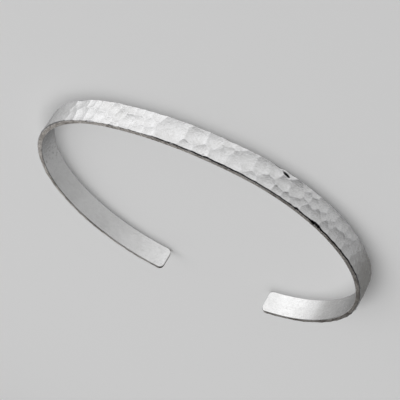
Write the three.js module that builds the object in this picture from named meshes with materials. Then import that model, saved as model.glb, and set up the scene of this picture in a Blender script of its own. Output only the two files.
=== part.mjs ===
// Open hammered cuff bangle, lying on its side. Millimetres, +Z up, lower rim on Z = 0.
// X runs across the wrist, the hammered back faces -Y and the gap between the two ends opens towards +Y.
// The strip is laid out flat as (along, across): along runs from one end to the other with 0 at the
// middle of the back, across runs from the lower rim to the upper rim. It is then bent round the oval.
import * as THREE from "three";

// Strip
const INSIDE_WIDTH = 60; // across the wrist, inner face to inner face
const THICKNESS = 1;
const BAND_WIDTH = 4.3;
const CORNER_RADIUS = 0.9; // rounded corners of the two ends, seen face on
const EDGE_SOFTENING = 0.12; // small bevel along every edge

// Oval that the middle of the strip's thickness follows: a flatter back and two tighter sides
const BACK_RADIUS = 48.9;
const BACK_HALF_ANGLE = THREE.MathUtils.degToRad(14.6);
const SIDE_ANGLE = THREE.MathUtils.degToRad(154.8);

// Hammering
const HAMMER_RADIUS = 14; // crown of the hammer's face
const RIDGE_STEP = 1.4; // ridges longer than this get a point at their middle
const WELD = 0.03; // ridge ends closer than this are one point
const NEIGHBOUR_REACH = 8; // dents farther apart than this never meet

// Smooth inner face and rims
const STATION_STEP = 1.5;
const CORNER_STEPS = 5;

const half = THICKNESS / 2;
const centreHalfWidth = INSIDE_WIDTH / 2 + half;
const backSine = Math.sin(BACK_HALF_ANGLE);
const sideRadius = (centreHalfWidth - BACK_RADIUS * backSine) / (1 - backSine);
const backHalfLength = BACK_RADIUS * BACK_HALF_ANGLE;
const halfLength = backHalfLength + sideRadius * SIDE_ANGLE;
const sideCentreX = (BACK_RADIUS - sideRadius) * backSine;
const sideCentreY = BACK_RADIUS - (BACK_RADIUS - sideRadius) * Math.cos(BACK_HALF_ANGLE);
const endAngle = BACK_HALF_ANGLE + SIDE_ANGLE;
const endReachY = sideCentreY - (sideRadius + half) * Math.cos(endAngle);
const middleY = (endReachY - half) / 2; // halfway between the back's outer face and the two ends

// A point of the flat strip, bent round the oval. lift is measured outwards from mid-thickness.
function bend(along, across, lift) {
  const travelled = Math.abs(along);
  const side = Math.sign(along);
  const onBack = travelled <= backHalfLength;
  const angle = onBack
    ? travelled / BACK_RADIUS
    : BACK_HALF_ANGLE + (travelled - backHalfLength) / sideRadius;
  const radius = (onBack ? BACK_RADIUS : sideRadius) + lift;
  const centreX = onBack ? 0 : sideCentreX;
  const centreY = onBack ? BACK_RADIUS : sideCentreY;
  const x = side * (centreX + radius * Math.sin(angle));
  const y = centreY - radius * Math.cos(angle) - middleY;
  return [x, y, across];
}

// Dents of the back, as struck: [along, across, radius of the dent at the surface]
const backDents = [
  [-33.1, 3.3, 1.5], [-34.2, 1.9, 1.4], [-33.2, 0.3, 1.3], [-32.6, 2.3, 1.1],
  [-30.9, 3.2, 1.5], [-31.9, 0.9, 1.2], [-30.5, 0.8, 1.2], [-29.3, 3.3, 1.5],
  [-29.2, 1.2, 1.2], [-28.2, 2.4, 1.0], [-27.2, 3.7, 1.2], [-27.4, 0.9, 1.4],
  [-25.0, 3.2, 1.4], [-25.4, 4.9, 1.3], [-25.3, 0.9, 1.3], [-25.9, 2.3, 0.9],
  [-23.3, 3.5, 1.3], [-23.8, 1.7, 1.1], [-23.3, 0.1, 1.0], [-22.2, 2.6, 0.8],
  [-22.3, 1.4, 1.0], [-21.6, 0.3, 1.0], [-21.0, 3.5, 1.2], [-20.3, 1.6, 1.6],
  [-19.3, 3.8, 1.1], [-17.8, 3.8, 1.2], [-18.2, 1.9, 1.4], [-18.7, -0.3, 1.0],
  [-15.7, 3.5, 1.7], [-16.2, 0.9, 1.4], [-14.2, 1.6, 1.7], [-13.4, 4.0, 1.3],
  [-11.9, 1.8, 1.9], [-12.3, -0.8, 1.1], [-10.1, 2.8, 1.8], [-10.4, -0.2, 0.9],
  [-7.9, 2.9, 1.8], [-8.7, 1.8, 1.2], [-8.2, 0.2, 1.2], [-7.3, 2.0, 1.1],
  [-6.1, 1.3, 1.6], [-4.9, 3.4, 1.4], [-3.4, 1.5, 1.9], [-2.5, 3.9, 1.3],
  [0.8, 2.1, 2.5], [4.4, 3.7, 1.3], [4.9, 2.1, 1.2], [4.1, 0.4, 1.4],
  [6.0, 3.8, 1.5], [6.7, 2.3, 1.5], [5.8, 0.6, 1.3], [8.4, 2.9, 1.8],
  [7.2, 0.6, 1.2], [8.7, 0.6, 1.2], [10.4, 4.4, 1.3], [10.3, 2.4, 1.7],
  [10.3, -0.1, 1.1], [11.8, 3.7, 1.2], [11.9, 1.5, 1.6], [13.6, 3.3, 1.8],
  [13.6, 0.9, 1.6], [15.3, 0.9, 1.3], [15.1, 4.9, 1.4], [15.9, 3.1, 1.8],
  [17.8, 3.2, 2.0], [16.8, 0.8, 1.2], [18.3, 0.9, 1.1],
];

// Farther round, the blows fall in three staggered rows that no two cuffs share.
const ROW_HEIGHTS = [0.7, 2.2, 3.7];
const ROW_STEP = 2.1;
const ROW_WANDER = 0.5;
const SMALLEST_BLOW = 1.25;
const BLOW_SPREAD = 0.55;
const SCATTER_RANGES = [
  [-halfLength, -35.4],
  [19.6, halfLength],
];

// An even-looking but repeatable number from 0 to 1 for each whole number.
function chance(count) {
  const value = Math.sin(count * 12.9898 + 4.1) * 43758.5453;
  return value - Math.floor(value);
}

function scatteredDents() {
  const scattered = [];
  let count = 0;
  for (const [from, to] of SCATTER_RANGES) {
    const columns = Math.round((to - from) / ROW_STEP);
    for (let column = 0; column <= columns; column++) {
      ROW_HEIGHTS.forEach((height, row) => {
        const stagger = (row % 2) / 2;
        const spot = from + ((column + stagger) / columns) * (to - from);
        const along = spot + (2 * chance(count) - 1) * ROW_WANDER;
        const across = height + (2 * chance(count + 1) - 1) * ROW_WANDER;
        scattered.push([along, across, SMALLEST_BLOW + BLOW_SPREAD * chance(count + 2)]);
        count += 3;
      });
    }
  }
  return scattered;
}

const dents = [...backDents, ...scatteredDents()].map(([along, across, radius]) => ({
  along,
  across,
  radius,
}));

function gap(one, other) {
  return Math.hypot(one.along - other.along, one.across - other.across);
}

// Height of a dent's dish over a point of the strip, counted from the untouched surface.
function dishHeight(dent, point) {
  return (gap(dent, point) ** 2 - dent.radius ** 2) / (2 * HAMMER_RADIUS);
}

function between(from, to, share) {
  return {
    along: from.along + share * (to.along - from.along),
    across: from.across + share * (to.across - from.across),
  };
}

// The part of a convex outline on the near side of the ridge between two dents.
function trimmed(outline, dent, other) {
  const rise = (point) => dishHeight(dent, point) - dishHeight(other, point);
  return outline.flatMap((point, index) => {
    const next = outline[(index + 1) % outline.length];
    const here = rise(point);
    const there = rise(next);
    const kept = here <= 0 ? [point] : [];
    const crossing = here <= 0 !== there <= 0;
    return crossing ? [...kept, between(point, next, here / (here - there))] : kept;
  });
}

// Lower edge of the strip from its left end to its right end, the corners rounded.
// Every inset keeps the same corner centres, so outlines of different insets run parallel.
function lowerEdge(inset, stretches) {
  const radius = CORNER_RADIUS - inset;
  const straight = halfLength - CORNER_RADIUS;
  const corner = [];
  for (let step = 0; step < CORNER_STEPS; step++) {
    const turn = (step / CORNER_STEPS) * (Math.PI / 2);
    corner.push({
      along: straight + radius * Math.cos(turn),
      across: CORNER_RADIUS - radius * Math.sin(turn),
    });
  }
  const mirrored = corner.map(({ along, across }) => ({ along: -along, across }));
  const stations = [];
  for (let station = 0; station <= stretches; station++) {
    stations.push({ along: straight * ((2 * station) / stretches - 1), across: inset });
  }
  return [...mirrored, ...stations, ...corner.reverse()];
}

// The upper edge, also from left to right.
function upperEdge(inset, stretches) {
  return lowerEdge(inset, stretches).map(({ along, across }) => ({
    along,
    across: BAND_WIDTH - across,
  }));
}

const positions = [];
const faces = [];

// The point with its number in the mesh. lift is measured outwards from mid-thickness.
function placed(point, lift) {
  positions.push(bend(point.along, point.across, lift));
  return { ...point, lift, id: positions.length - 1 };
}

function addFace(...corners) {
  faces.push(corners.map((corner) => corner.id));
}

// Hammered outer face: one shallow dish per dent, meeting its neighbours in straight ridges.
const ridgePoints = [];
const dishSides = new Map(); // "from>to" to the two points, for each side of each dish

function ridgePoint(point) {
  const known = ridgePoints.find((other) => gap(point, other) < WELD);
  if (known) return known;
  const lowest = Math.min(0, ...dents.map((dent) => dishHeight(dent, point)));
  const made = placed(point, half + lowest);
  ridgePoints.push(made);
  return made;
}

function addDish(dent, rim) {
  const onDish = (point) => placed(point, half + Math.min(0, dishHeight(dent, point)));
  const hub = onDish({
    along: rim.reduce((sum, point) => sum + point.along, 0) / rim.length,
    across: rim.reduce((sum, point) => sum + point.across, 0) / rim.length,
  });
  const slope = rim.map((point) => onDish(between(hub, point, 0.5)));
  rim.forEach((point, index) => {
    const nextIndex = (index + 1) % rim.length;
    addFace(hub, slope[index], slope[nextIndex]);
    addFace(slope[index], point, rim[nextIndex]);
    addFace(slope[index], rim[nextIndex], slope[nextIndex]);
    dishSides.set(point.id + ">" + rim[nextIndex].id, [point, rim[nextIndex]]);
  });
}

function addHammeredFace() {
  const outline = [...lowerEdge(EDGE_SOFTENING, 1), ...upperEdge(EDGE_SOFTENING, 1).reverse()];
  for (const dent of dents) {
    const near = dents.filter((other) => other !== dent && gap(dent, other) < NEIGHBOUR_REACH);
    const cell = near.reduce((left, other) => trimmed(left, dent, other), outline);
    const welded = cell.map(ridgePoint);
    const corners = welded.filter((point, index) => point !== welded[(index + 1) % welded.length]);
    const rim = corners.flatMap((point, index) => {
      const next = corners[(index + 1) % corners.length];
      return gap(point, next) > RIDGE_STEP ? [point, ridgePoint(between(point, next, 0.5))] : [point];
    });
    if (corners.length > 2) addDish(dent, rim);
  }
}

// The dish sides that nothing lies beyond, chained counter-clockwise into the face's outline.
function hammeredOutline() {
  const following = new Map();
  for (const [key, [from, to]] of dishSides) {
    if (!dishSides.has(key.split(">").reverse().join(">"))) following.set(from, to);
  }
  const loop = [];
  let at = following.keys().next().value;
  while (loop.length < following.size) {
    loop.push(at);
    at = following.get(at);
  }
  return loop;
}

// The point of the strip's full outline straight outwards from a point near its edge.
function toEdge({ along, across }) {
  const straight = halfLength - CORNER_RADIUS;
  const nearAlong = THREE.MathUtils.clamp(along, -straight, straight);
  const nearAcross = THREE.MathUtils.clamp(across, CORNER_RADIUS, BAND_WIDTH - CORNER_RADIUS);
  const away = new THREE.Vector2(along - nearAlong, across - nearAcross).setLength(CORNER_RADIUS);
  return { along: nearAlong + away.x, across: nearAcross + away.y };
}

// Bearing of a point from the strip's middle, as if the strip were square.
function bearing({ along, across }) {
  const middle = BAND_WIDTH / 2;
  return Math.atan2((across - middle) / middle, along / halfLength);
}

function fromLowestBearing(loop) {
  const bearings = loop.map(bearing);
  const first = bearings.indexOf(Math.min(...bearings));
  return [...loop.slice(first), ...loop.slice(0, first)];
}

// Closes the wall between two loops that run the same way round, whatever their numbers of points.
function stitch(upper, lower) {
  const reached = (loop, step) => bearing(loop[step % loop.length]) + (step < loop.length ? 0 : 7);
  let upperStep = 0;
  let lowerStep = 0;
  while (upperStep < upper.length || lowerStep < lower.length) {
    const a = upper[upperStep % upper.length];
    const b = lower[lowerStep % lower.length];
    const alongUpper = reached(upper, upperStep + 1) <= reached(lower, lowerStep + 1);
    if (lowerStep === lower.length || (alongUpper && upperStep < upper.length)) {
      upperStep += 1;
      addFace(a, b, upper[upperStep % upper.length]);
    } else {
      lowerStep += 1;
      addFace(a, b, lower[lowerStep % lower.length]);
    }
  }
}

addHammeredFace();
const hammeredEdge = fromLowestBearing(hammeredOutline());
const hammeredRim = hammeredEdge.map((point) => placed(toEdge(point), point.lift - EDGE_SOFTENING));

// Smooth inner face: straight across, so each point of one edge joins its twin on the other.
const stretches = Math.round((2 * (halfLength - CORNER_RADIUS)) / STATION_STEP);
const smoothLower = lowerEdge(EDGE_SOFTENING, stretches).map((point) => placed(point, -half));
const smoothUpper = upperEdge(EDGE_SOFTENING, stretches).map((point) => placed(point, -half));
smoothLower.slice(1).forEach((lower, index) => {
  addFace(smoothLower[index], smoothUpper[index], lower);
  addFace(smoothUpper[index], smoothUpper[index + 1], lower);
});
const smoothEdge = fromLowestBearing([...smoothLower, ...[...smoothUpper].reverse()]);
const smoothRim = smoothEdge.map((point) => placed(toEdge(point), EDGE_SOFTENING - half));

// Softened edges and the flat rims and ends between them
stitch(hammeredEdge, hammeredRim);
stitch(hammeredRim, smoothRim);
stitch(smoothRim, smoothEdge);

const geometry = new THREE.BufferGeometry();
geometry.setAttribute("position", new THREE.Float32BufferAttribute(positions.flat(), 3));
geometry.setIndex(faces.flat());
geometry.computeVertexNormals();

const silver = new THREE.MeshStandardMaterial({
  color: new THREE.Color(0.8, 0.8, 0.81),
  metalness: 1,
  roughness: 0.3,
  flatShading: true,
});

const cuff = new THREE.Mesh(geometry, silver);
cuff.name = "cuff";

const bangle = new THREE.Group();
bangle.name = "hammered_cuff_bangle";
bangle.add(cuff);

export default bangle;
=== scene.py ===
"""Looks of an open hammered silver cuff bangle, lying on its side on a pale studio floor.

The strip is laid out flat as (along, across): along runs from one end to the other with 0 at the middle
of the hammered back, across runs from the lower rim to the upper rim. It is then bent round the oval.
"""

import math

import bpy
import numpy as np
from mathutils import Matrix, Vector


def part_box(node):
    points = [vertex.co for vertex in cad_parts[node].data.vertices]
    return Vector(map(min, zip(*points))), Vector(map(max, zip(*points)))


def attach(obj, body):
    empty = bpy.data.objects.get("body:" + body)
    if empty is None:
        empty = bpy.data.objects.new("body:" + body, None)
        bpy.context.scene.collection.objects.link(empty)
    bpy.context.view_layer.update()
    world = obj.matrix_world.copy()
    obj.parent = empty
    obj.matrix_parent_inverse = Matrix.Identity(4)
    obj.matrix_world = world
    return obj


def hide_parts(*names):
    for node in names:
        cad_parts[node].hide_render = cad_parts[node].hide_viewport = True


bl_info = {
    "name": "Hammered Cuff Bangle",
    "version": (1, 0, 0),
    "blender": (4, 5, 0),
    "location": "View3D > Sidebar > Cuff",
    "description": "Builds an open hammered silver cuff bangle and its studio stage",
    "category": "Add Mesh",
}

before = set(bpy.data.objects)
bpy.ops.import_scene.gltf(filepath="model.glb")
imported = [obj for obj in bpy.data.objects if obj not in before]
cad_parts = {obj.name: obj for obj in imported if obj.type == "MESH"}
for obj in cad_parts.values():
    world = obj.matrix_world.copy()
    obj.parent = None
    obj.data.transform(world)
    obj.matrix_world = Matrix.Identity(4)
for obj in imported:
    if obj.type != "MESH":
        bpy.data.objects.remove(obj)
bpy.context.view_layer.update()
CUFF_LOW, CUFF_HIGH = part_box("cuff")

MM = 0.001
STRIP_THICKNESS = 1.0 * MM
SIZE_SLACK = 0.15 * MM
INSIDE_WIDTH = MM * round((CUFF_HIGH.x - CUFF_LOW.x) / MM) - 2 * STRIP_THICKNESS
STRIP_WIDTH = CUFF_HIGH.z - CUFF_LOW.z

# Dents of the back, as struck, in millimetres: along, across, radius of the dent at the surface
BACK_DENTS = [
    (-33.1, 3.3, 1.5), (-34.2, 1.9, 1.4), (-33.2, 0.3, 1.3), (-32.6, 2.3, 1.1),
    (-30.9, 3.2, 1.5), (-31.9, 0.9, 1.2), (-30.5, 0.8, 1.2), (-29.3, 3.3, 1.5),
    (-29.2, 1.2, 1.2), (-28.2, 2.4, 1.0), (-27.2, 3.7, 1.2), (-27.4, 0.9, 1.4),
    (-25.0, 3.2, 1.4), (-25.4, 4.9, 1.3), (-25.3, 0.9, 1.3), (-25.9, 2.3, 0.9),
    (-23.3, 3.5, 1.3), (-23.8, 1.7, 1.1), (-23.3, 0.1, 1.0), (-22.2, 2.6, 0.8),
    (-22.3, 1.4, 1.0), (-21.6, 0.3, 1.0), (-21.0, 3.5, 1.2), (-20.3, 1.6, 1.6),
    (-19.3, 3.8, 1.1), (-17.8, 3.8, 1.2), (-18.2, 1.9, 1.4), (-18.7, -0.3, 1.0),
    (-15.7, 3.5, 1.7), (-16.2, 0.9, 1.4), (-14.2, 1.6, 1.7), (-13.4, 4.0, 1.3),
    (-11.9, 1.8, 1.9), (-12.3, -0.8, 1.1), (-10.1, 2.8, 1.8), (-10.4, -0.2, 0.9),
    (-7.9, 2.9, 1.8), (-8.7, 1.8, 1.2), (-8.2, 0.2, 1.2), (-7.3, 2.0, 1.1),
    (-6.1, 1.3, 1.6), (-4.9, 3.4, 1.4), (-3.4, 1.5, 1.9), (-2.5, 3.9, 1.3),
    (0.8, 2.1, 2.5), (4.4, 3.7, 1.3), (4.9, 2.1, 1.2), (4.1, 0.4, 1.4),
    (6.0, 3.8, 1.5), (6.7, 2.3, 1.5), (5.8, 0.6, 1.3), (8.4, 2.9, 1.8),
    (7.2, 0.6, 1.2), (8.7, 0.6, 1.2), (10.4, 4.4, 1.3), (10.3, 2.4, 1.7),
    (10.3, -0.1, 1.1), (11.8, 3.7, 1.2), (11.9, 1.5, 1.6), (13.6, 3.3, 1.8),
    (13.6, 0.9, 1.6), (15.3, 0.9, 1.3), (15.1, 4.9, 1.4), (15.9, 3.1, 1.8),
    (17.8, 3.2, 2.0), (16.8, 0.8, 1.2), (18.3, 0.9, 1.1),
]

# Weight of the blows along the strip: place in millimetres, share of the full slope
BLOW_WEIGHTS = [
    (-50, 1.0), (-41, 0.3), (-34, 1.1), (-24, 0.9), (-18, 1.15), (-11, 0.75),
    (-4, 1.1), (3, 0.8), (8, 1.3), (17, 1.1), (23, 0.4), (36, 0.4), (46, 1.0),
]

# Rows of blows on the two arms, in millimetres. The rows start past the two places of BACK_REACH.
ROW_HEIGHTS = (0.7, 2.2, 3.7)
ROW_STEP = 2.1
ROW_WANDER = 0.5
SMALLEST_BLOW = 1.25
BLOW_SPREAD = 0.55
BACK_REACH = (-35.4, 19.6)

# A dent farther along the strip than this, in millimetres, never reaches a point
FARTHEST_NEIGHBOUR = 5.0

# Slow waves that bend the ridges and roughen the edges: length in millimetres, heading in radians.
# One wave is WAVE_TURN radians.
WAVES = [(2.9, 0.4), (1.7, 1.9), (1.15, 1.1), (0.8, 2.6)]
WAVE_TURN = 6.28
PHASE_STRIDE = 97

# Unevenness of the edges: share of their softening, and the height on the strip of the waves it follows
EDGE_WEAR = 0.25
EDGE_WEAR_ROW = 0.7

# Rubbed ridges: the step between two hollows, in millimetres, over which the rub fades,
# and how near a ridge a point moves on to it, in mesh steps
RIDGE_FADE = 0.025
SNAP_REACH = 0.5
TINY = 1e-9

# Stretches of an edge that the blows crushed, or left sharper where the last number is below zero,
# in millimetres: along, half length, extra softening
UPPER_EDGE_BLOWS = [
    (-25.9, 0.7, 0.2), (-25.1, 0.5, 0.16), (-21.7, 0.3, 0.16),
    (-8.5, 7.5, 0.06), (10.6, 0.6, 0.1), (13.5, 9.5, -0.1), (15.1, 0.8, 0.15),
]
LOWER_EDGE_BLOWS = [(-37.4, 0.8, 0.2), (-25.0, 0.2, 0.1), (-16.4, 0.6, 0.14), (20.3, 0.7, 0.15)]

# Slips of the hammer's corner, in millimetres: along, across, half length, half width, depth.
# The last number is the slant in degrees.
NICKS = [
    (-17.95, 0.6, 0.65, 0.11, 0.22, -9.0),
    (-14.95, 2.63, 0.28, 0.08, 0.06, 30.0),
    (-5.6, 3.98, 0.22, 0.1, 0.09, 25.0),
]
DEEPEST_NICK = 0.22

# Steps of the mesh round each corner and down the rim
CORNER_STEPS = 9
RIM_STEPS = 2

# Section of a filed edge, as shares of its softening: out from the face, and down from it
FILED_EDGE = [(0.12, 0.02), (0.28, 0.14), (0.86, 0.72), (0.98, 0.88), (1.0, 1.0)]

# Material slots of the cuff, in order
HAMMERED, SMOOTH, RIM, EDGE = range(4)

# How much of each effect a finish shows, and where its specks crowd and its painted shade lies:
# middle along the strip and reach each way, in millimetres. The painted shade is a film that darkens
# the colour round the right turn, as shade there would, with a little tarnish. Marks are grain and strokes
# in the colour.
HAMMERED_EFFECTS = {
    "grain": 1.7, "marks": 0.5, "lines": 0.5, "strokes": 1.0, "ridges": 0.08,
    "tarnish_and_painted_shade": 0.2, "painted_shade_film": 0.85, "painted_shade_film_at": (-48.0, 14.0),
}
SMOOTH_EFFECTS = {
    "grain": 0.25, "marks": 1.2, "lines": 0.6, "polish": 0.8,
    "tarnish_and_painted_shade": 0.12, "painted_shade_film": 0.4, "painted_shade_film_at": (-53.0, 18.0), "specks": 0.7, "specks_at": (42.0, 9.0),
}
RIM_EFFECTS = {
    "grain": 4.0, "marks": 1.2, "lines": 0.6, "polish": 0.6,
    "tarnish_and_painted_shade": 0.8, "specks": 1.0, "specks_at": (-48.0, 30.0),
}
EDGE_EFFECTS = {"grain": 0.3, "marks": 0.5, "lines": 0.3, "tarnish_and_painted_shade": 0.12}

# What a finish has of the effects that it doesn't name
LEFT_OUT = {
    "strokes": 0.0, "ridges": 0.0, "polish": 0.0,
    "painted_shade_film": 0.0, "painted_shade_film_at": (0.0, 1.0), "specks": 0.0, "specks_at": (0.0, 1.0),
}

# Satin grain: cells in a metre, and the fine cells' share
FINE_GRAIN = 5200.0
COARSE_GRAIN = 2400.0
FINE_SHARE = 0.6

# Hairlines: slant in radians and closeness of each set, cells in a millimetre, where they show
HAIRLINE_SETS = [(0.12, 5.0), (1.1, 3.0), (-0.75, 2.4)]
HAIRLINE_CELLS = (0.22, 7.0)
HAIRLINE_LIMITS = (0.66, 0.74)

# File strokes: slant in radians, cells in a millimetre, and how they swell along the strip.
# Each stretch is from, to, in millimetres, strength at from, strength at to.
STROKE_SLANT = -0.8
STROKE_CELLS = (0.6, 6.0, 1.0)
STROKES_ON_LEFT = (17.0, 23.0, 0.25, 1.0)
STROKES_ON_RIGHT = (-31.0, -40.0, 0.25, 5.0)
STROKES_PAST_TURN = (-66.0, -56.0, 0.2, 1.0)

# Specks: crowds in a metre, what nearness to their middle adds, where a crowd starts and is full,
# and the radius of a pit's floor and of its rim, in millimetres
SPECK_CROWDS = 120.0
SPECK_GATHERING = 0.3
CROWD_LIMITS = (0.5, 0.62)
PIT_SIZE = (0.08, 0.2)

# Tarnish: clouds and patches in a metre, the clouds' share, where they start and are full.
# The film of painted shade fades out over the fade below, in millimetres. Its border wanders: cloud from,
# to, place from, to.
TARNISH_CLOUDS = 260.0
TARNISH_PATCHES = 1100.0
CLOUD_SHARE = 0.7
TARNISH_LIMITS = (0.42, 0.62)
PAINTED_SHADE_FADE = 8.0
PAINTED_SHADE_WANDER = (0.3, 0.7, -2.0, 2.0)

# Polishing lines: cells in a millimetre
POLISH_CELLS = (0.35, 14.0, 1.0)

# Shares of the effects in the roughness and the relief
GRAIN_IN_ROUGHNESS = 0.25
TARNISH_IN_ROUGHNESS = 0.1
LINES_IN_ROUGHNESS = 0.12
RIDGES_IN_ROUGHNESS = 0.2
LINES_IN_RELIEF = 0.35
RELIEF_DEPTH = 0.028 * MM

# Painted shade in the nicks, near black and darker the deeper the nick: its colour, and how far down a nick
# it starts and is full
PAINTED_NICK_SHADE = (0.02, 0.019, 0.018, 1.0)
PAINTED_NICK_SHADE_REACH = (0.3, 0.7)

# Glows in the studio air that the silver mirrors: azimuth and elevation in degrees, tightness, strength
GLOWS = {
    "front": (-42, -25, 4, 0.95),
    "front_tall": (-12, 35, 20, 0.8),
    "front_narrow": (-18, -20, 20, 0.4),
    "left_side": (-106, -30, 4, 0.68),
    "open_side": (180, -35, 4, 0.48),
    "right_side": (115, -15, 6, 0.3),
    "right_front": (26, -33, 6, 0.5),
    "rim": (55, 22, 16, 0.65),
    "floor": (0, -90, 2, 0.1),
    "overhead": (0, 90, 30, 0.65),
}

# Soft boxes that light the floor: azimuth and elevation in degrees, distance and size in metres, watts
SOFT_BOXES = {
    "overhead_box": (60, 82, 0.7, (1.0, 1.0), 4.2),
    "side_box": (-30, 45, 0.8, (0.7, 0.7), 0.9),
}

# Floor: reach each way in metres, roughness and specular level
FLOOR_REACH = 3.0
FLOOR_ROUGHNESS = 0.9
FLOOR_SPECULAR = 0.1

# Camera: width of the sensor in millimetres, and the nearest and farthest places seen, in metres
SENSOR_WIDTH = 36.0
NEAREST_SEEN = 10 * MM
FARTHEST_SEEN = 10.0


class CuffSizes(bpy.types.PropertyGroup):
    inside_width: bpy.props.FloatProperty(
        name="Inside width", description="Across the wrist, inner face to inner face",
        default=INSIDE_WIDTH, unit="LENGTH", precision=4)
    strip_width: bpy.props.FloatProperty(
        name="Strip width", description="From the lower rim to the upper rim",
        default=STRIP_WIDTH, unit="LENGTH", precision=4)
    thickness: bpy.props.FloatProperty(
        name="Thickness", description="Of the strip before it was hammered",
        default=STRIP_THICKNESS, unit="LENGTH", precision=4)
    corner_radius: bpy.props.FloatProperty(
        name="Corner radius", description="Of the two ends, seen face on",
        default=0.9 * MM, unit="LENGTH", precision=5)
    upper_softening: bpy.props.FloatProperty(
        name="Upper softening", description="Radius of the edge from hammered face to upper rim",
        default=0.16 * MM, unit="LENGTH", precision=5)
    edge_softening: bpy.props.FloatProperty(
        name="Edge softening", description="Radius of the three other rubbed edges",
        default=0.08 * MM, unit="LENGTH", precision=5)
    back_radius: bpy.props.FloatProperty(
        name="Back radius", description="Of the flatter back, at mid thickness",
        default=48.9 * MM, unit="LENGTH", precision=4)
    back_half_angle: bpy.props.FloatProperty(
        name="Back half angle", description="How far the flatter back reaches each way",
        default=math.radians(14.6), subtype="ANGLE")
    side_angle: bpy.props.FloatProperty(
        name="Side angle", description="How far each tighter side turns",
        default=math.radians(154.8), subtype="ANGLE")
    dent_slope: bpy.props.FloatProperty(
        name="Dent slope", description="How steeply a dent's hollow meets the untouched surface",
        default=0.25, min=0, precision=3)
    ridge_wander: bpy.props.FloatProperty(
        name="Ridge wander", description="How far ridges between dents stray from straight lines",
        default=0.06 * MM, unit="LENGTH", precision=5)
    mesh_step: bpy.props.FloatProperty(
        name="Mesh step", description="Size of the faces on the hammered side",
        default=0.11 * MM, unit="LENGTH", precision=5)


class CuffFinish(bpy.types.PropertyGroup):
    hammered_silver: bpy.props.FloatVectorProperty(
        name="Hammered silver", description="Colour of the clean hammered face",
        subtype="COLOR", size=3, min=0, max=1, default=(0.8, 0.8, 0.805))
    # The dull colour is also the painted shade round the right turn.
    dull_silver: bpy.props.FloatVectorProperty(
        name="Dull silver", description="Colour of tarnish on the hammered face",
        subtype="COLOR", size=3, min=0, max=1, default=(0.5, 0.488, 0.463))
    smooth_silver: bpy.props.FloatVectorProperty(
        name="Smooth silver", description="Colour of the polished inner face",
        subtype="COLOR", size=3, min=0, max=1, default=(0.92, 0.92, 0.92))
    # The dull colour is also the painted shade round the right turn on the inner face.
    dull_smooth: bpy.props.FloatVectorProperty(
        name="Dull inside", description="Colour of tarnish and pits on the inner face",
        subtype="COLOR", size=3, min=0, max=1, default=(0.4, 0.39, 0.38))
    rim_silver: bpy.props.FloatVectorProperty(
        name="Rim silver", description="Colour of the filed rims",
        subtype="COLOR", size=3, min=0, max=1, default=(0.88, 0.83, 0.78))
    dull_rim: bpy.props.FloatVectorProperty(
        name="Dull rim", description="Colour of tarnish on the rims",
        subtype="COLOR", size=3, min=0, max=1, default=(0.32, 0.28, 0.25))
    hammered_roughness: bpy.props.FloatProperty(
        name="Hammered roughness", description="Of the dents' satin",
        subtype="FACTOR", min=0, max=1, default=0.13)
    smooth_roughness: bpy.props.FloatProperty(
        name="Smooth roughness", description="Of the inner face",
        subtype="FACTOR", min=0, max=1, default=0.2)
    rim_roughness: bpy.props.FloatProperty(
        name="Rim roughness", description="Of the filed rims",
        subtype="FACTOR", min=0, max=1, default=0.3)
    edge_roughness: bpy.props.FloatProperty(
        name="Edge roughness", description="Of the burnished edges",
        subtype="FACTOR", min=0, max=1, default=0.14)


class CuffStage(bpy.types.PropertyGroup):
    floor_colour: bpy.props.FloatVectorProperty(
        name="Floor", description="Colour of the studio floor",
        subtype="COLOR", size=3, min=0, max=1, default=(0.8, 0.8, 0.8))
    azimuth: bpy.props.FloatProperty(
        name="Azimuth", description="Of the camera, 0 in front of the hammered back",
        default=math.radians(-22.3), subtype="ANGLE")
    elevation: bpy.props.FloatProperty(
        name="Elevation", description="Of the camera above the floor",
        default=math.radians(23.96), subtype="ANGLE")
    roll: bpy.props.FloatProperty(
        name="Roll", description="Turn of the camera about its line of sight",
        default=math.radians(210.67), subtype="ANGLE")
    lens: bpy.props.FloatProperty(
        name="Lens", description="Focal length on a 36 mm sensor", default=100.0, unit="CAMERA")
    distance: bpy.props.FloatProperty(
        name="Distance", description="From the camera to the point it aims at",
        default=189.4 * MM, unit="LENGTH", precision=4)
    aim_right: bpy.props.FloatProperty(
        name="Aim right", description="Sideways in the picture, from the cuff's middle",
        default=0.32 * MM, unit="LENGTH", precision=5)
    aim_up: bpy.props.FloatProperty(
        name="Aim up", description="Upwards in the picture, from the cuff's middle",
        default=2.57 * MM, unit="LENGTH", precision=5)


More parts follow.
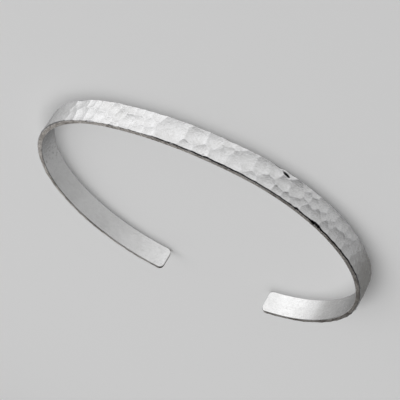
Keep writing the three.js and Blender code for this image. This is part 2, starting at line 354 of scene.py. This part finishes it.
class Oval:
    """The line that the strip is bent to, and the strip's own outline."""

    def __init__(self, sizes):
        self.half = sizes.thickness / 2
        self.width = sizes.strip_width
        self.corner = sizes.corner_radius
        self.softening = sizes.edge_softening
        self.back_radius = sizes.back_radius
        self.back_angle = sizes.back_half_angle
        back_sine = math.sin(self.back_angle)
        centre_half_width = sizes.inside_width / 2 + self.half
        self.side_radius = (centre_half_width - self.back_radius * back_sine) / (1 - back_sine)
        self.back_length = self.back_radius * self.back_angle
        self.half_length = self.back_length + self.side_radius * sizes.side_angle
        self.side_x = (self.back_radius - self.side_radius) * back_sine
        self.side_y = self.back_radius - (self.back_radius - self.side_radius) * math.cos(self.back_angle)
        end_angle = self.back_angle + sizes.side_angle
        end_reach = self.side_y - (self.side_radius + self.half) * math.cos(end_angle)
        self.middle_y = (end_reach - self.half) / 2

    def bend(self, along, across, lift):
        """Points of the flat strip, bent round the oval. lift is measured outwards from mid thickness."""
        travelled = np.abs(along)
        on_back = travelled <= self.back_length
        angle = np.where(
            on_back,
            travelled / self.back_radius,
            self.back_angle + (travelled - self.back_length) / self.side_radius,
        )
        radius = np.where(on_back, self.back_radius, self.side_radius) + lift
        x = np.sign(along) * (np.where(on_back, 0.0, self.side_x) + radius * np.sin(angle))
        y = np.where(on_back, self.back_radius, self.side_y) - radius * np.cos(angle) - self.middle_y
        return np.stack([x, y, across + CUFF_LOW.z], axis=-1)


def chance(count):
    """A repeatable number from 0 to 1 for each whole number."""
    value = math.sin(count * 12.9898 + 4.1) * 43758.5453
    return value - math.floor(value)


def scattered_dents(half_length):
    """The blows on the two arms, in millimetres."""
    dents = []
    count = 0
    for start, end in ((-half_length, BACK_REACH[0]), (BACK_REACH[1], half_length)):
        columns = round((end - start) / ROW_STEP)
        for column in range(columns + 1):
            for row, height in enumerate(ROW_HEIGHTS):
                stagger = (row % 2) / 2
                spot = start + (column + stagger) / columns * (end - start)
                along = spot + (2 * chance(count) - 1) * ROW_WANDER
                across = height + (2 * chance(count + 1) - 1) * ROW_WANDER
                dents.append((along, across, SMALLEST_BLOW + BLOW_SPREAD * chance(count + 2)))
                count += 3
    return dents


def waves(along, across, variant):
    """Smooth irregular numbers from about -1 to 1 at places on the strip, which are in millimetres."""
    total = 0
    for step, (length, heading) in enumerate(WAVES):
        phase = WAVE_TURN * chance(PHASE_STRIDE * variant + step)
        turned = heading + variant
        travelled = along * math.cos(turned) + across * math.sin(turned)
        total = total + np.sin(WAVE_TURN / length * travelled + phase)
    return total / len(WAVES)


class Hammering:
    """The height of the hammered face over the flat strip."""

    def __init__(self, oval, sizes):
        dents = np.array(BACK_DENTS + scattered_dents(oval.half_length / MM))
        self.dents = dents * MM
        self.slopes = sizes.dent_slope * np.interp(dents[:, 0], *np.transpose(BLOW_WEIGHTS))
        self.wander = sizes.ridge_wander

    def lowest_two(self, along, across):
        """Heights of the two deepest dishes at each point, and the numbers of their dents."""
        shape = along.shape
        along = along.ravel()
        across = across.ravel()
        bent_along = along + self.wander * waves(along / MM, across / MM, variant=1)
        bent_across = across + self.wander * waves(along / MM, across / MM, variant=2)
        order = np.argsort(self.dents[:, 0])
        dents = self.dents[order]
        best = np.full(len(along), np.inf)
        second = np.full(len(along), np.inf)
        first_dent = np.zeros(len(along), int)
        second_dent = np.zeros(len(along), int)
        for number, (dent_along, dent_across, radius) in zip(order, dents):
            near = np.nonzero(np.abs(bent_along - dent_along) < FARTHEST_NEIGHBOUR * MM)[0]
            away = (bent_along[near] - dent_along) ** 2 + (bent_across[near] - dent_across) ** 2
            height = (away / radius - radius) * self.slopes[number] / 2
            lower = height < best[near]
            hit = near[lower]
            second[hit] = best[hit]
            second_dent[hit] = first_dent[hit]
            best[hit] = height[lower]
            first_dent[hit] = number
            between = ~lower & (height < second[near])
            second[near[between]] = height[between]
            second_dent[near[between]] = number
        return [a.reshape(shape) for a in (best, second, first_dent, second_dent)]

    def snapped(self, along, across, reach):
        """The points, those within reach of a ridge moved on to it."""
        best, second, first, other = self.lowest_two(along, across)
        towards_along = self.dents[other, 0] - self.dents[first, 0]
        towards_across = self.dents[other, 1] - self.dents[first, 1]
        apart = np.hypot(towards_along, towards_across) + TINY
        radii = self.dents[first, 2] + self.dents[other, 2]
        steepness = (self.slopes[first] + self.slopes[other]) * apart / radii
        distance = (second - best) / steepness
        move = np.where((distance < reach) & (best < 0), distance, 0.0) / apart
        return along + move * towards_along, across + move * towards_across

    def height(self, along, across):
        """The hammered face's height at each point, how near a ridge it is, and how far down a nick."""
        best, second, _, _ = self.lowest_two(along, across)
        ridge = np.exp(-(second - best) / (RIDGE_FADE * MM))
        height = np.minimum(best, 0.0)
        nicked = np.zeros(height.shape)
        for nick_along, nick_across, half_length, half_width, depth, slant in NICKS:
            turn = math.radians(slant)
            right = along / MM - nick_along
            up = across / MM - nick_across
            lengthwise = (right * math.cos(turn) + up * math.sin(turn)) / half_length
            crosswise = (up * math.cos(turn) - right * math.sin(turn)) / half_width
            share = np.exp(-(lengthwise**4) - crosswise**2)
            height = height - depth * MM * share
            nicked = np.maximum(nicked, share * depth / DEEPEST_NICK)
        return height, ridge, nicked


def edge_softening(along, blows, softening):
    """Softening at each place along one edge, with its crushed and its sharper stretches."""
    total = np.full(along.shape, softening)
    for spot, half_length, extra in blows:
        total += extra * MM * np.exp(-(((along / MM - spot) / half_length) ** 4))
    wear = EDGE_WEAR * softening * waves(along / MM, EDGE_WEAR_ROW, variant=3)
    return total + wear


def strip_outline(oval, step):
    """The columns of faces: where each one is based, its way out along the strip, and its way across."""
    turns = np.linspace(0, math.pi / 2, CORNER_STEPS, endpoint=False)
    straight = oval.half_length - oval.corner
    columns = round(2 * straight / step)
    middle = np.linspace(-straight, straight, columns + 1)
    side = np.concatenate([-np.ones(CORNER_STEPS), np.zeros(columns + 1), np.ones(CORNER_STEPS)])
    cosine = np.concatenate([np.cos(turns), np.zeros(columns + 1), np.cos(turns)[::-1]])
    sine = np.concatenate([np.sin(turns), np.ones(columns + 1), np.sin(turns)[::-1]])
    base = np.concatenate([np.full(CORNER_STEPS, -straight), middle, np.full(CORNER_STEPS, straight)])
    return base, side * cosine, sine


def loop_of(grid):
    """The grid's border, counter-clockwise from its first corner."""
    return np.concatenate([grid[:, 0], grid[-1, 1:], grid[-2::-1, -1], grid[0, -2:0:-1]])


def end_fan(end, low, high):
    """Quads that join an end's row of vertices, an even number of them, to the next column's two."""
    fan = [(low, *end[first : first + 3]) for first in range(0, len(end) - 2, 2)]
    return np.array([*fan, (low, end[-2], end[-1], high)])


class CuffMesh:
    """The cuff's points and quads: a grid for the hammered face, rings round it, long quads inside."""

    def __init__(self, sizes):
        self.sizes = sizes
        self.oval = Oval(sizes)
        self.points = []
        self.values = []
        self.quads = []
        self.finishes = []
        self.base, self.outward, self.turn = strip_outline(self.oval, sizes.mesh_step)
        self.lower = edge_softening(self.base, LOWER_EDGE_BLOWS, self.oval.softening)
        self.upper = edge_softening(self.base, UPPER_EDGE_BLOWS, sizes.upper_softening)
        self.rows = 2 * round(self.oval.width / sizes.mesh_step / 2) + 1
        self.share = np.linspace(0, 1, self.rows + 1)
        self.inset = self.lower[:, None] * (1 - self.share) + self.upper[:, None] * self.share
        self.add_hammered_face()
        self.add_edges_and_rim()
        self.add_smooth_face()

    def add_points(self, along, across, lift, ridge, nicked=0.0):
        """Bend points of the flat strip into place, keep their values, and return their numbers."""
        first = sum(len(p) for p in self.points)
        self.points.append(self.oval.bend(along.ravel(), across.ravel(), lift.ravel()))
        marks = [np.broadcast_to(mark, along.shape).ravel() for mark in (ridge, nicked)]
        self.values.append(np.stack([along.ravel(), across.ravel(), *marks], -1))
        return first + np.arange(along.size).reshape(along.shape)

    def add_quads(self, quads, finish):
        self.quads.append(quads)
        self.finishes.append(np.full(len(quads), finish, np.int32))

    def grid(self):
        """Where the points of the hammered face lie on the flat strip."""
        corner = self.oval.corner
        low = corner - (corner - self.lower) * self.turn
        high = self.oval.width - corner + (corner - self.upper) * self.turn
        along = self.base[:, None] + self.outward[:, None] * (corner - self.inset)
        across = low[:, None] + self.share * (high - low)[:, None]
        return along, across

    def add_hammered_face(self):
        hammering = Hammering(self.oval, self.sizes)
        along, across = self.grid()
        inner = (slice(1, -1), slice(1, -1))
        reach = SNAP_REACH * self.sizes.mesh_step
        along[inner], across[inner] = hammering.snapped(along[inner], across[inner], reach)
        height, ridge, nicked = hammering.height(along, across)
        face = self.add_points(along, across, self.oval.half + height, ridge, nicked)
        quads = np.stack([face[:-1, :-1], face[1:, :-1], face[1:, 1:], face[:-1, 1:]], -1)
        self.add_quads(quads.reshape(-1, 4), HAMMERED)
        self.ring = loop_of(face)
        self.ring_along = loop_of(along)
        self.ring_across = loop_of(across)
        self.ring_lift = self.oval.half + loop_of(height)

    def outwards(self):
        """Which way is out at each point of the hammered face's border, along and across the strip."""
        shape = self.inset.shape
        out_along = np.broadcast_to(self.outward[:, None], shape)
        out_across = np.broadcast_to(-self.turn[:, None], shape) * np.where(self.share < 0.5, 1, -1)
        at_end = np.zeros(shape, bool)
        at_end[0] = at_end[-1] = True
        out_along = np.where(at_end, np.sign(self.base)[:, None], out_along)
        out_across = np.where(at_end, 0.0, out_across)
        return loop_of(out_along), loop_of(out_across)

    def add_edges_and_rim(self):
        """Rings for the rubbed outer edge, the flat rim and the rubbed inner edge."""
        out_along, out_across = self.outwards()
        half = self.oval.half
        soft = loop_of(self.inset)
        plain = np.full_like(soft, self.oval.softening)

        def wall(out, lift, finish):
            along = self.ring_along + out_along * out
            across = self.ring_across + out_across * out
            ring = self.add_points(along, across, lift, float(finish == EDGE))
            quads = np.stack([self.ring, ring, np.roll(ring, -1), np.roll(self.ring, -1)], -1)
            self.add_quads(quads, finish)
            self.ring = ring

        for out, down in FILED_EDGE:
            wall(soft * out, self.ring_lift - soft * down, EDGE)
        top = self.ring_lift - soft
        bottom = plain - half
        for share_down in np.linspace(0, 1, RIM_STEPS + 2)[1:]:
            wall(soft, top + share_down * (bottom - top), RIM)
        for in_again, up in FILED_EDGE:
            wall(soft - plain * up, -half + plain * (1 - in_again), EDGE)

    def add_smooth_face(self):
        """One quad across the strip for each column, and a fan of quads at each end."""
        columns = len(self.base)
        upper_side = columns + self.rows - 1
        right_side = upper_side + columns - 1
        low = self.ring[:columns]
        high = self.ring[upper_side : upper_side + columns][::-1]
        left_end = self.ring[columns - 1 : upper_side + 1]
        right_end = np.append(self.ring[right_side:], self.ring[0])[::-1]
        self.add_quads(np.stack([low[1:-2], high[1:-2], high[2:-1], low[2:-1]], -1), SMOOTH)
        self.add_quads(end_fan(right_end, low[1], high[1]), SMOOTH)
        self.add_quads(end_fan(left_end, low[-2], high[-2])[:, ::-1], SMOOTH)


def sharpen_ring(mesh, ring):
    """Mark the edges of the last ring as sharp, where the rubbed edge meets the smooth face."""
    ends = np.empty(2 * len(mesh.edges), np.int32)
    mesh.edges.foreach_get("vertices", ends)
    ends = ends.reshape(-1, 2)
    step = np.abs(ends[:, 1] - ends[:, 0])
    on_ring = (ends.min(axis=1) >= ring.min()) & ((step == 1) | (step == len(ring) - 1))
    mesh.attributes.new("sharp_edge", "BOOLEAN", "EDGE").data.foreach_set("value", on_ring)


def make_cuff(sizes):
    """The cuff as one mesh object with its strip map and its ridge and nick values."""
    parts = CuffMesh(sizes)
    vertices = np.concatenate(parts.points).astype(np.float32)
    values = np.concatenate(parts.values)
    quads = np.concatenate(parts.quads).astype(np.int32)
    mesh = bpy.data.meshes.new("silver_cuff")
    mesh.vertices.add(len(vertices))
    mesh.vertices.foreach_set("co", vertices.ravel())
    mesh.loops.add(quads.size)
    mesh.loops.foreach_set("vertex_index", quads.ravel())
    mesh.polygons.add(len(quads))
    mesh.polygons.foreach_set("loop_start", np.arange(0, quads.size, 4, dtype=np.int32))
    mesh.polygons.foreach_set("material_index", np.concatenate(parts.finishes))
    mesh.update(calc_edges=True)
    mesh.validate()
    sharpen_ring(mesh, parts.ring)
    strip = mesh.uv_layers.new(name="strip")
    strip.data.foreach_set("uv", (values[quads.ravel(), :2] / MM).astype(np.float32).ravel())
    for column, name in ((2, "ridge"), (3, "nick")):
        mark = mesh.attributes.new(name, "FLOAT", "POINT")
        mark.data.foreach_set("value", values[:, column].astype(np.float32))
    mesh.shade_smooth()
    cuff = bpy.data.objects.new("silver_cuff", mesh)
    bpy.context.scene.collection.objects.link(cuff)
    return cuff


def check_size(cuff):
    """Stop if the cuff's box isn't the frame's box."""
    corners = np.array([vertex.co for vertex in cuff.data.vertices])
    off = max(np.abs(corners.min(0) - CUFF_LOW).max(), np.abs(corners.max(0) - CUFF_HIGH).max())
    if off > SIZE_SLACK:
        raise ValueError(f"the cuff's box is {off / MM:.2f} mm off the frame's box")


class Nodes:
    """Short ways to place and join shader nodes in one tree."""

    def __init__(self, tree):
        self.tree = tree

    def add(self, kind, inputs=None, **settings):
        node = self.tree.nodes.new(kind)
        for name, value in settings.items():
            setattr(node, name, value)
        for name, value in (inputs or {}).items():
            if isinstance(value, bpy.types.NodeSocket):
                self.tree.links.new(value, node.inputs[name])
            else:
                node.inputs[name].default_value = value
        return node

    def math(self, operation, first, second=0.0, clamp=False):
        node = self.add("ShaderNodeMath", {0: first, 1: second}, operation=operation, use_clamp=clamp)
        return node.outputs[0]

    def blended(self, first, second, share):
        """The first number's share, and the rest from the second."""
        rest = self.math("MULTIPLY", second, 1 - share)
        return self.math("ADD", self.math("MULTIPLY", first, share), rest)

    def centred(self, value):
        """A number from 0 to 1, moved to lie from -0.5 to 0.5."""
        return self.math("SUBTRACT", value, 0.5)

    def spread(self, value, low, high, to_low=0.0, to_high=1.0):
        """A number that goes from to_low to to_high as the value goes from low to high, and stops there."""
        return self.add(
            "ShaderNodeMapRange",
            {"Value": value, "From Min": low, "From Max": high, "To Min": to_low, "To Max": to_high},
        ).outputs["Result"]

    def mix(self, share, first, second):
        """Two colours mixed. The node keeps its colours in inputs 6 and 7 and output 2."""
        return self.add("ShaderNodeMix", {0: share, 6: first, 7: second}, data_type="RGBA").outputs[2]

    def noise(self, vector, scale=1.0, detail=2.0, roughness=0.5):
        return self.add(
            "ShaderNodeTexNoise",
            {"Vector": vector, "Scale": scale, "Detail": detail, "Roughness": roughness},
        ).outputs["Fac"]

    def stretched(self, vector, scale, slant=0.0):
        """The vector scaled along and across lines that slant by an angle in radians."""
        turned = self.add("ShaderNodeMapping", {"Vector": vector, "Rotation": (0, 0, -slant)})
        scaled = self.add("ShaderNodeMapping", {"Vector": turned.outputs["Vector"], "Scale": scale})
        return scaled.outputs["Vector"]

    def along(self, strip):
        """Place along the strip, in millimetres."""
        return self.add("ShaderNodeSeparateXYZ", {"Vector": strip}).outputs["X"]

    def effect(self, group, inputs):
        """The one result of a group, placed in this tree with its own values."""
        return self.add("ShaderNodeGroup", inputs, node_tree=group).outputs[0]


def effect_group(name, inputs, output, fill):
    """A shader node group with named inputs and one named output, built once."""
    if name in bpy.data.node_groups:
        return bpy.data.node_groups[name]
    group = bpy.data.node_groups.new(name, "ShaderNodeTree")
    for socket_name, default in inputs.items():
        kind = "NodeSocketVector" if default is None else "NodeSocketFloat"
        socket = group.interface.new_socket(socket_name, in_out="INPUT", socket_type=kind)
        if default is not None:
            socket.default_value = default
    group.interface.new_socket(output, in_out="OUTPUT", socket_type="NodeSocketFloat")
    given = group.nodes.new("NodeGroupInput")
    result = group.nodes.new("NodeGroupOutput")
    group.links.new(fill(Nodes(group), given.outputs), result.inputs[output])
    return group


def satin_grain_group():
    """Fine pits and speckle left in the metal by the hammer's face and the tumbling barrel."""

    def fill(nodes, given):
        fine = nodes.noise(given["Place"], FINE_GRAIN)
        coarse = nodes.noise(given["Place"], COARSE_GRAIN)
        speckle = nodes.blended(fine, coarse, FINE_SHARE)
        return nodes.math("MULTIPLY", nodes.centred(speckle), given["Amount"])

    return effect_group("satin_grain", {"Place": None, "Amount": 1.0}, "Grain", fill)


def hairlines_group():
    """Thin scratches in three directions over the strip."""

    def fill(nodes, given):
        lengthwise, crosswise = HAIRLINE_CELLS
        total = None
        for slant, closeness in HAIRLINE_SETS:
            cells = (lengthwise * closeness, crosswise * closeness, 1.0)
            line = nodes.noise(nodes.stretched(given["Strip"], cells, slant), detail=1.0, roughness=0.4)
            thin = nodes.spread(line, *HAIRLINE_LIMITS)
            total = thin if total is None else nodes.math("MAXIMUM", total, thin)
        return nodes.math("MULTIPLY", total, given["Amount"])

    return effect_group("hairlines", {"Strip": None, "Amount": 1.0}, "Lines", fill)


def file_strokes_group():
    """Slanted strokes of a file, plain on the arms, strongest in the right turn and faint on the back."""

    def fill(nodes, given):
        place = nodes.stretched(given["Strip"], STROKE_CELLS, STROKE_SLANT)
        stroke = nodes.noise(place, detail=3.0, roughness=0.65)
        along = nodes.along(given["Strip"])
        on_left = nodes.spread(along, *STROKES_ON_LEFT)
        on_right = nodes.spread(along, *STROKES_ON_RIGHT)
        past_turn = nodes.spread(along, *STROKES_PAST_TURN)
        reach = nodes.math("MAXIMUM", on_left, nodes.math("MULTIPLY", on_right, past_turn))
        return nodes.math("MULTIPLY", nodes.math("MULTIPLY", nodes.centred(stroke), reach), given["Amount"])

    return effect_group("file_strokes", {"Strip": None, "Amount": 1.0}, "Strokes", fill)


def specks_group():
    """Scattered small dark pits, crowded round one place on the strip."""

    def fill(nodes, given):
        away = nodes.math("ABSOLUTE", nodes.math("SUBTRACT", nodes.along(given["Strip"]), given["Middle"]))
        near = nodes.math("SUBTRACT", 1.0, nodes.math("DIVIDE", away, given["Reach"]), clamp=True)
        gathered = nodes.math("MULTIPLY", nodes.centred(near), SPECK_GATHERING)
        crowd = nodes.math("ADD", nodes.noise(given["Place"], SPECK_CROWDS, detail=1.0), gathered)
        cell_inputs = {"Vector": given["Strip"], "Scale": 1.0}
        cells = nodes.add("ShaderNodeTexVoronoi", cell_inputs, voronoi_dimensions="2D")
        pit = nodes.spread(cells.outputs["Distance"], *PIT_SIZE, 1.0, 0.0)
        crowded = nodes.spread(crowd, *CROWD_LIMITS)
        return nodes.math("MULTIPLY", nodes.math("MULTIPLY", pit, crowded), given["Amount"])

    inputs = {"Place": None, "Strip": None, "Middle": 0.0, "Reach": 10.0, "Amount": 1.0}
    return effect_group("specks", inputs, "Specks", fill)


def tarnish_and_painted_shade_group():
    """Soft clouds of light tarnish, and a film of painted shade with a little tarnish round one place on
    the strip.
    """

    def fill(nodes, given):
        cloud = nodes.noise(given["Place"], TARNISH_CLOUDS, detail=3.0, roughness=0.55)
        patch = nodes.noise(given["Place"], TARNISH_PATCHES)
        both = nodes.blended(cloud, patch, CLOUD_SHARE)
        clouds = nodes.math("MULTIPLY", nodes.spread(both, *TARNISH_LIMITS), given["Amount"])
        uneven = nodes.math("ADD", nodes.along(given["Strip"]), nodes.spread(cloud, *PAINTED_SHADE_WANDER))
        away = nodes.math("ABSOLUTE", nodes.math("SUBTRACT", uneven, given["Painted shade middle"]))
        left = nodes.math("SUBTRACT", given["Painted shade reach"], away)
        painted_shade_film = nodes.math("MULTIPLY", nodes.math("DIVIDE", left, PAINTED_SHADE_FADE, clamp=True), given["Painted shade"])
        return nodes.math("ADD", clouds, painted_shade_film, clamp=True)

    painted_shade_inputs = {"Painted shade": 0.0, "Painted shade middle": 0.0, "Painted shade reach": 10.0}
    inputs = {"Place": None, "Strip": None, "Amount": 1.0, **painted_shade_inputs}
    return effect_group("tarnish_and_painted_shade", inputs, "Tarnish and painted shade", fill)


def silver_material(name, clean, dull_colour, roughness, effects):
    """One silver finish with its share of every effect. An effect that isn't named is left out."""
    share = {**LEFT_OUT, **effects}
    material = bpy.data.materials.new(name)
    material.use_nodes = True
    tree = material.node_tree
    tree.nodes.clear()
    nodes = Nodes(tree)
    place = nodes.add("ShaderNodeTexCoord").outputs["Object"]
    strip = nodes.add("ShaderNodeUVMap", uv_map="strip").outputs["UV"]

    grain = nodes.effect(satin_grain_group(), {"Place": place, "Amount": share["grain"]})
    lines = nodes.effect(hairlines_group(), {"Strip": strip, "Amount": share["lines"]})
    strokes = nodes.effect(file_strokes_group(), {"Strip": strip, "Amount": share["strokes"]})
    middle, reach = share["specks_at"]
    speck_inputs = {"Place": place, "Strip": strip, "Middle": middle, "Reach": reach}
    specks = nodes.effect(specks_group(), {**speck_inputs, "Amount": share["specks"]})
    # Where the painted shade lies: a film that darkens the colour round the right turn, with a little
    # tarnish.
    middle, reach = share["painted_shade_film_at"]
    painted_shade_inputs = {"Painted shade": share["painted_shade_film"], "Painted shade middle": middle, "Painted shade reach": reach}
    tarnish_inputs = {"Place": place, "Strip": strip, "Amount": share["tarnish_and_painted_shade"]}
    tarnish_and_painted_shade = nodes.effect(tarnish_and_painted_shade_group(), {**tarnish_inputs, **painted_shade_inputs})
    polish = nodes.noise(nodes.stretched(strip, POLISH_CELLS), detail=3.0, roughness=0.6)
    polish = nodes.math("MULTIPLY", nodes.centred(polish), share["polish"])

    crest = nodes.add("ShaderNodeAttribute", attribute_name="ridge").outputs["Fac"]
    worn = nodes.math("MULTIPLY", crest, share["ridges"])
    marks = nodes.math("MULTIPLY", nodes.math("ADD", grain, strokes), share["marks"])
    # The tarnish here carries the painted shade of the right turn into the colour too.
    marked = nodes.math("MAXIMUM", nodes.math("ADD", tarnish_and_painted_shade, marks), specks)
    dull = nodes.math("SUBTRACT", marked, worn, clamp=True)
    colour = nodes.mix(dull, (*clean, 1.0), (*dull_colour, 1.0))
    # The deepest nick is painted towards near black, as shade in its hollow.
    nick = nodes.add("ShaderNodeAttribute", attribute_name="nick").outputs["Fac"]
    colour = nodes.mix(nodes.spread(nick, *PAINTED_NICK_SHADE_REACH), colour, PAINTED_NICK_SHADE)

    rough = nodes.math("ADD", roughness, nodes.math("MULTIPLY", grain, GRAIN_IN_ROUGHNESS))
    rough = nodes.math("ADD", rough, nodes.math("MULTIPLY", tarnish_and_painted_shade, TARNISH_IN_ROUGHNESS))
    rough = nodes.math("ADD", rough, nodes.math("MULTIPLY", lines, LINES_IN_ROUGHNESS))
    rough = nodes.math("SUBTRACT", rough, nodes.math("MULTIPLY", worn, RIDGES_IN_ROUGHNESS), clamp=True)

    relief = nodes.math("ADD", nodes.math("ADD", grain, polish), strokes)
    relief = nodes.math("SUBTRACT", relief, nodes.math("MULTIPLY", lines, LINES_IN_RELIEF))
    relief = nodes.math("SUBTRACT", relief, specks)
    bump = nodes.add("ShaderNodeBump", {"Strength": 1.0, "Distance": RELIEF_DEPTH, "Height": relief})
    shader = nodes.add(
        "ShaderNodeBsdfPrincipled",
        {"Base Color": colour, "Metallic": 1.0, "Roughness": rough, "Normal": bump.outputs["Normal"]},
    )
    output = nodes.add("ShaderNodeOutputMaterial")
    tree.links.new(shader.outputs["BSDF"], output.inputs["Surface"])
    return material


def floor_material(colour):
    """Plain pale matt floor."""
    material = bpy.data.materials.new("studio_floor")
    material.use_nodes = True
    shader = material.node_tree.nodes["Principled BSDF"]
    shader.inputs["Base Color"].default_value = (*colour, 1.0)
    shader.inputs["Roughness"].default_value = FLOOR_ROUGHNESS
    shader.inputs["Specular IOR Level"].default_value = FLOOR_SPECULAR
    return material


def towards(azimuth, elevation):
    """Direction at an azimuth from +X towards +Y and an elevation, both in degrees."""
    turn = math.radians(azimuth)
    rise = math.radians(elevation)
    return (math.cos(turn) * math.cos(rise), math.sin(turn) * math.cos(rise), math.sin(rise))


def soft_box(name, azimuth, elevation, distance, size, strength):
    """A rectangular area light that faces the cuff and lights the floor only."""
    light = bpy.data.lights.new(name, "AREA")
    light.shape = "RECTANGLE"
    light.size, light.size_y = size
    light.energy = strength
    box = bpy.data.objects.new(name, light)
    away = Vector(towards(azimuth, elevation))
    box.location = away * distance
    box.rotation_mode = "QUATERNION"
    box.rotation_quaternion = away.to_track_quat("Z", "Y")
    box.visible_glossy = False
    bpy.context.scene.collection.objects.link(box)


def make_camera(stage):
    """The camera, aimed near the cuff's middle and turned about its line of sight."""
    back = Vector((
        math.sin(stage.azimuth) * math.cos(stage.elevation),
        -math.cos(stage.azimuth) * math.cos(stage.elevation),
        math.sin(stage.elevation),
    ))
    level_right = (-back).cross(Vector((0, 0, 1))).normalized()
    level_up = level_right.cross(-back)
    right = math.cos(stage.roll) * level_right + math.sin(stage.roll) * level_up
    up = math.cos(stage.roll) * level_up - math.sin(stage.roll) * level_right
    middle = Vector((0, 0, (CUFF_LOW.z + CUFF_HIGH.z) / 2))
    aim = middle + right * stage.aim_right + up * stage.aim_up
    camera = bpy.data.objects.new("camera", bpy.data.cameras.new("camera"))
    camera.data.lens = stage.lens
    camera.data.sensor_width = SENSOR_WIDTH
    camera.data.clip_start = NEAREST_SEEN
    camera.data.clip_end = FARTHEST_SEEN
    turn = Matrix((right, up, back)).transposed().to_4x4()
    camera.matrix_world = Matrix.Translation(aim + back * stage.distance) @ turn
    bpy.context.scene.collection.objects.link(camera)
    bpy.context.scene.camera = camera


def make_floor(colour):
    """A large pale floor. The silver doesn't mirror it: it mirrors the studio air instead."""
    mesh = bpy.data.meshes.new("studio_floor")
    sides = ((-1, -1), (1, -1), (1, 1), (-1, 1))
    corners = [(x * FLOOR_REACH, y * FLOOR_REACH, CUFF_LOW.z) for x, y in sides]
    mesh.from_pydata(corners, [], [(0, 1, 2, 3)])
    mesh.materials.append(floor_material(colour))
    floor = bpy.data.objects.new("studio_floor", mesh)
    floor.visible_glossy = False
    bpy.context.scene.collection.objects.link(floor)


def make_air():
    """Studio surroundings for the silver to mirror: a few broad glows, and dark between them."""
    world = bpy.data.worlds.new("studio_air")
    bpy.context.scene.world = world
    world.use_nodes = True
    nodes = Nodes(world.node_tree)
    direction = nodes.add("ShaderNodeTexCoord").outputs["Generated"]
    total = 0.0
    for azimuth, elevation, tightness, strength in GLOWS.values():
        middle = towards(azimuth, elevation)
        facing = nodes.add("ShaderNodeVectorMath", {0: direction, 1: middle}, operation="DOT_PRODUCT")
        glow = nodes.math("POWER", nodes.math("MAXIMUM", facing.outputs["Value"], 0.0), tightness)
        total = nodes.math("ADD", total, nodes.math("MULTIPLY", glow, strength))
    background = world.node_tree.nodes["Background"]
    world.node_tree.links.new(total, background.inputs["Color"])
    background.inputs["Strength"].default_value = 1.0


class CUFF_OT_make_cuff(bpy.types.Operator):
    """Build the hammered cuff and its silver finishes"""

    bl_idname = "cuff.make_cuff"
    bl_label = "Make Cuff"

    def execute(self, context):
        cuff = make_cuff(context.scene.cuff_sizes)
        check_size(cuff)
        finish = context.scene.cuff_finish
        hammered = (finish.hammered_silver, finish.dull_silver)
        smooth = (finish.smooth_silver, finish.dull_smooth)
        rim = (finish.rim_silver, finish.dull_rim)
        for material in (
            silver_material("hammered_silver", *hammered, finish.hammered_roughness, HAMMERED_EFFECTS),
            silver_material("smooth_silver", *smooth, finish.smooth_roughness, SMOOTH_EFFECTS),
            silver_material("rim_silver", *rim, finish.rim_roughness, RIM_EFFECTS),
            silver_material("edge_silver", *hammered, finish.edge_roughness, EDGE_EFFECTS),
        ):
            cuff.data.materials.append(material)
        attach(cuff, "root")
        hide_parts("cuff")
        return {"FINISHED"}


class CUFF_OT_make_stage(bpy.types.Operator):
    """Lay the pale floor, hang the soft boxes and place the camera"""

    bl_idname = "cuff.make_stage"
    bl_label = "Make Stage"

    def execute(self, context):
        stage = context.scene.cuff_stage
        make_floor(stage.floor_colour)
        make_air()
        for name, box in SOFT_BOXES.items():
            soft_box(name, *box)
        make_camera(stage)
        return {"FINISHED"}


class CUFF_PT_panel(bpy.types.Panel):
    """Sizes, finish and stage of the cuff"""

    bl_idname = "CUFF_PT_panel"
    bl_label = "Hammered Cuff"
    bl_space_type = "VIEW_3D"
    bl_region_type = "UI"
    bl_category = "Cuff"

    def draw(self, context):
        column = self.layout.column()
        for group in (context.scene.cuff_sizes, context.scene.cuff_finish, context.scene.cuff_stage):
            for name in group.bl_rna.properties.keys():
                if name not in ("rna_type", "name"):
                    column.prop(group, name)
        for operator in OPERATORS:
            column.operator(operator.bl_idname)


GROUPS = {"cuff_sizes": CuffSizes, "cuff_finish": CuffFinish, "cuff_stage": CuffStage}
OPERATORS = (CUFF_OT_make_cuff, CUFF_OT_make_stage)
CLASSES = (*GROUPS.values(), *OPERATORS, CUFF_PT_panel)


def register():
    for cls in CLASSES:
        bpy.utils.register_class(cls)
    for name, group in GROUPS.items():
        setattr(bpy.types.Scene, name, bpy.props.PointerProperty(type=group))


def unregister():
    for name in GROUPS:
        delattr(bpy.types.Scene, name)
    for cls in reversed(CLASSES):
        bpy.utils.unregister_class(cls)


def main():
    register()
    bpy.ops.cuff.make_cuff()
    bpy.ops.cuff.make_stage()
    bpy.context.scene.view_settings.view_transform = "Standard"


if __name__ == "__main__":
    main()
